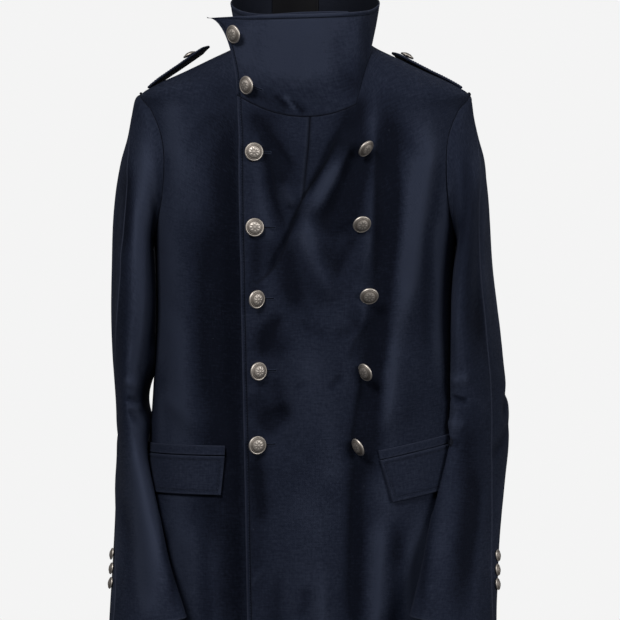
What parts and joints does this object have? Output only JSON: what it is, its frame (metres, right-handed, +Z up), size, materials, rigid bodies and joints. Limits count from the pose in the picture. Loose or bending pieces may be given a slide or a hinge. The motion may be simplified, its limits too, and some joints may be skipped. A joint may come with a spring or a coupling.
{
  "type": "pea coat",
  "caption": "Double-breasted wool coat with a tall buttoned funnel collar, shoulder straps, pocket flaps and metal buttons, filled out and open at the neck, hem and cuffs.",
  "frame": {"origin": "middle of the neck's base, level with the two points where the shoulder seams meet the collar", "axes": "+Z up, -Y the way the coat faces, +X towards the wearer's left"},
  "size_m": [0.5111, 0.2967, 0.9145],
  "materials": {
    "wool": "dark navy woollen cloth with a faint satin sheen",
    "label_satin": "plain black woven satin",
    "button_metal": "aged silver, darkened in the hollows"
  },
  "bodies": {
    "root": {"front_right": "wool", "front_left": "wool", "back": "wool", "collar": "wool", "sleeve_front_right": "wool", "sleeve_back_right": "wool", "sleeve_front_left": "wool", "sleeve_back_left": "wool", "epaulette_right": "wool", "epaulette_left": "wool", "pocket_flap_right": "wool", "pocket_flap_left": "wool", "pocket_welt_right": "wool", "pocket_welt_left": "wool", "neck_label": "label_satin", "button_front_right_1": "button_metal", "button_front_right_2": "button_metal", "button_front_right_3": "button_metal", "button_front_right_4": "button_metal", "button_front_right_5": "button_metal", "button_front_left_1": "button_metal", "button_front_left_2": "button_metal", "button_front_left_3": "button_metal", "button_front_left_4": "button_metal", "button_front_left_5": "button_metal", "button_collar_1": "button_metal", "button_collar_2": "button_metal", "button_epaulette_right": "button_metal", "button_epaulette_left": "button_metal", "button_cuff_right_1": "button_metal", "button_cuff_right_2": "button_metal", "button_cuff_right_3": "button_metal", "button_cuff_left_1": "button_metal", "button_cuff_left_2": "button_metal", "button_cuff_left_3": "button_metal"}
  },
  "joints": []
}
